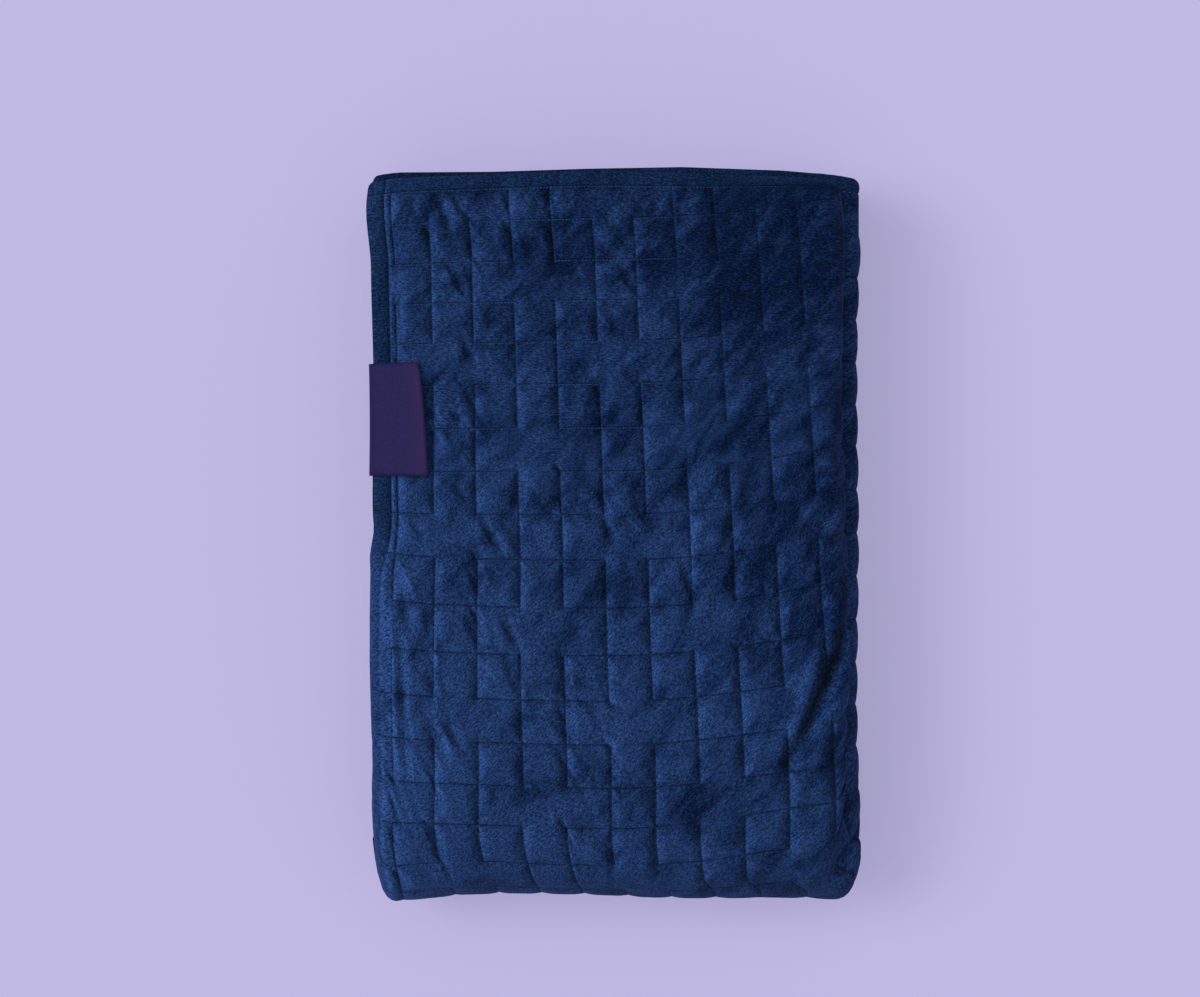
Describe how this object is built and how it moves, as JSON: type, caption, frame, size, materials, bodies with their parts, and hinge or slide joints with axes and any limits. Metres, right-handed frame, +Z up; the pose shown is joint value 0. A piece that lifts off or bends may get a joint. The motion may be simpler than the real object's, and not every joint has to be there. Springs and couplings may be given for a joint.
{
  "type": "folded weighted blanket",
  "caption": "Quilted plush weighted blanket folded across its width and along its length into a flat rectangular pile, with a woven side label.",
  "frame": {"origin": "under the middle of the folded pile, on the surface that it lies on", "axes": "+X to the right, across the pile; +Y from the big front fold to the hemmed back edge; +Z up, through the layers"},
  "size_m": [0.3224, 0.48, 0.1311],
  "materials": {
    "plush": "navy micro-plush, brushed, quilted in a square grid with tonal thread",
    "label": "fine woven satin, dark purple, blank"
  },
  "bodies": {
    "root": {"blanket": "plush", "label": "label"}
  },
  "joints": []
}
